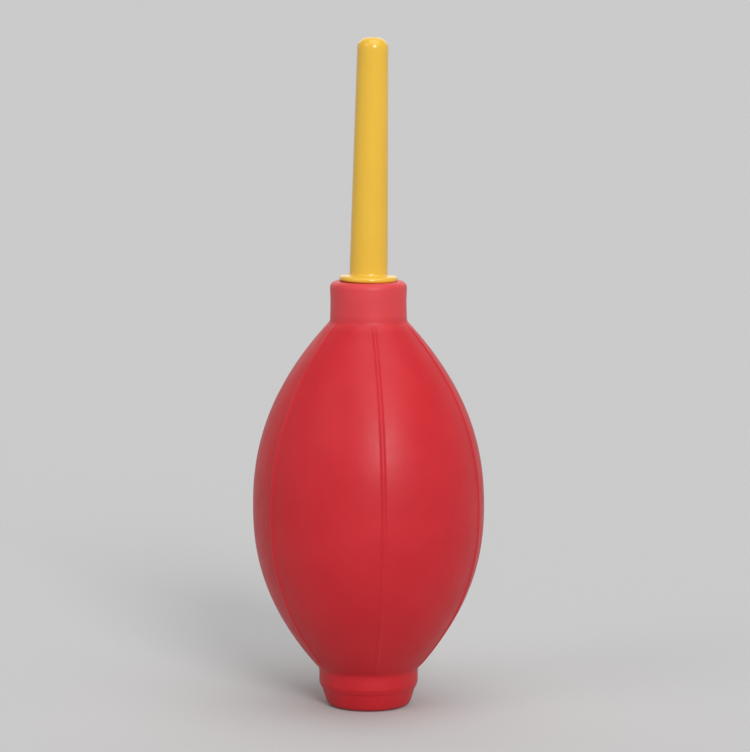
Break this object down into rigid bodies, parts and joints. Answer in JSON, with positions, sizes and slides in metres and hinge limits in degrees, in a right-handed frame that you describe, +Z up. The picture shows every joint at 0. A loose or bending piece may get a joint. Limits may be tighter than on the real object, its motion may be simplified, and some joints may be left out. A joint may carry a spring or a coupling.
{
  "type": "dust blower bulb",
  "caption": "Hand-squeezed ribbed rubber bulb on a round foot, with a long tapered push-in nozzle at the top and a one-way air valve in the foot.",
  "frame": {"origin": "centre of the flat face that the foot stands on", "axes": "+Z up along the bulb's axis towards the nozzle; -Y is the side seen in the picture; the nozzle leans slightly towards +X"},
  "size_m": [0.055, 0.0552, 0.1589],
  "materials": {
    "red_rubber": "matt moulded rubber, softly sheened",
    "yellow_plastic": "satin moulded plastic",
    "brass": "turned",
    "black_silicone": "smooth",
    "white_plastic": "moulded",
    "steel": "bright wire"
  },
  "bodies": {
    "bulb": {"bulb": "red_rubber", "valve_body": "brass", "valve_cage": "white_plastic", "valve_spring": "steel", "filter_gauze": "steel", "gauze_ring": "steel"},
    "wall_right": {"bulb_wall_right": "red_rubber"},
    "wall_left": {"bulb_wall_left": "red_rubber"},
    "nozzle": {"nozzle": "yellow_plastic"},
    "valve_disc": {"valve_disc": "black_silicone"}
  },
  "joints": [
    {"name": "squeeze_right", "type": "slide", "parent": "bulb", "child": "wall_right", "axis": [-0.9917, -0.1288, 0], "range_m": [0, 0.01], "stiffness_N_per_m": 3000},
    {"name": "squeeze_left", "type": "slide", "parent": "bulb", "child": "wall_left", "axis": [0.9917, 0.1288, 0], "range_m": [0, 0.01], "stiffness_N_per_m": 3000},
    {"name": "nozzle_pull", "type": "slide", "parent": "bulb", "child": "nozzle", "axis": [0.0183, 0, 0.9998], "range_m": [0, 0.012]},
    {"name": "valve_lift", "type": "slide", "parent": "bulb", "child": "valve_disc", "axis": [0, 0, 1], "range_m": [0, 0.0012], "stiffness_N_per_m": 20, "springref_m": -0.0004, "deforming": ["valve_spring"]}
  ],
  "couplings": [
    {"joint": "squeeze_left", "follows": "squeeze_right", "ratio": 1}
  ]
}
